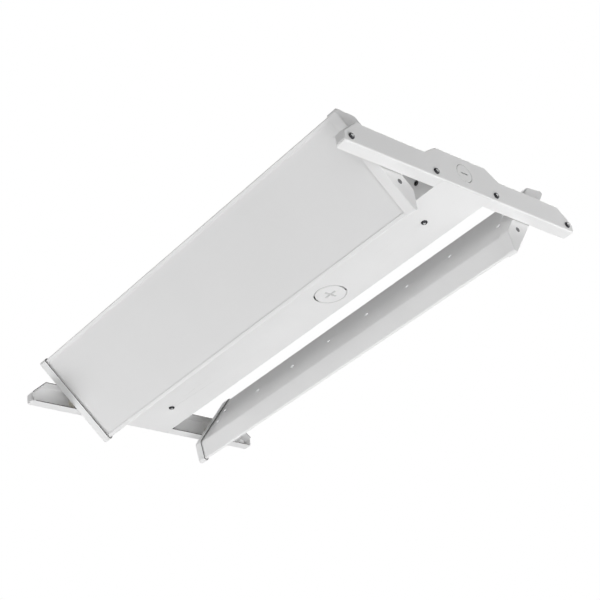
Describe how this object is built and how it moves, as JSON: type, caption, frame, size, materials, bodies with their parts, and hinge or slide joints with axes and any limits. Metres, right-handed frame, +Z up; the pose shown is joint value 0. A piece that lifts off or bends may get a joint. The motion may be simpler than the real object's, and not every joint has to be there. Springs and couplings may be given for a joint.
{
  "type": "high bay light",
  "caption": "Linear high bay light: a driver channel between two end plates whose arms carry two tilting light panels with frosted lenses.",
  "frame": {"origin": "centre of the hanger slots, on the top face of the channel", "axes": "+Z up, out of the channel's top face towards the ceiling; X along the light, with the lead holes near its +X end; the left panel is on the -Y side"},
  "size_m": [0.6144, 0.347, 0.106],
  "materials": {
    "white_powder_coat": "white polyester powder coat on sheet steel, semi-gloss with faint orange peel",
    "frosted_lens": "frosted acrylic sheet, satin",
    "dark_zinc_screw": "black zinc plated steel",
    "zinc_plate": "bright zinc plated steel",
    "bright_rivet": "plain aluminium",
    "driver_case": "extruded aluminium case, satin anodised",
    "terminal_plastic": "moulded nylon",
    "black_nylon": "moulded black nylon",
    "natural_nylon": "natural nylon",
    "white_board": "white solder mask on a glass-fibre board",
    "led_phosphor": "silicone over yellow phosphor"
  },
  "bodies": {
    "housing": {"channel": "white_powder_coat", "driver_cover": "white_powder_coat", "lead_end_plate": "white_powder_coat", "tail_end_plate": "white_powder_coat", "channel_screws": "dark_zinc_screw", "guard_screws": "dark_zinc_screw", "guard_nuts": "white_powder_coat", "cover_straps": "zinc_plate", "cover_screws": "dark_zinc_screw", "driver": "driver_case", "driver_screws": "zinc_plate", "terminal_block": "terminal_plastic", "channel_bushings": "black_nylon", "pivot_studs": "zinc_plate", "pivot_spacers": "natural_nylon", "pivot_washers": "natural_nylon", "pivot_nuts": "zinc_plate"},
    "left_panel": {"left_pan": "white_powder_coat", "left_lens": "frosted_lens", "left_lead_cap": "white_powder_coat", "left_tail_cap": "white_powder_coat", "left_cap_screws": "zinc_plate", "left_led_board": "white_board", "left_leds": "led_phosphor", "left_board_rivets": "bright_rivet", "left_panel_bushing": "black_nylon"},
    "right_panel": {"right_pan": "white_powder_coat", "right_lens": "frosted_lens", "right_lead_cap": "white_powder_coat", "right_tail_cap": "white_powder_coat", "right_cap_screws": "zinc_plate", "right_led_board": "white_board", "right_leds": "led_phosphor", "right_board_rivets": "bright_rivet", "right_panel_bushing": "black_nylon"}
  },
  "joints": [
    {"name": "left_tilt", "type": "hinge", "parent": "housing", "child": "left_panel", "pos_m": [0, -0.10798, -0.02605], "axis": [-1, 0, 0], "range_deg": [-46, 14]},
    {"name": "right_tilt", "type": "hinge", "parent": "housing", "child": "right_panel", "pos_m": [0, 0.10798, -0.02605], "axis": [1, 0, 0], "range_deg": [-53, 7]}
  ]
}
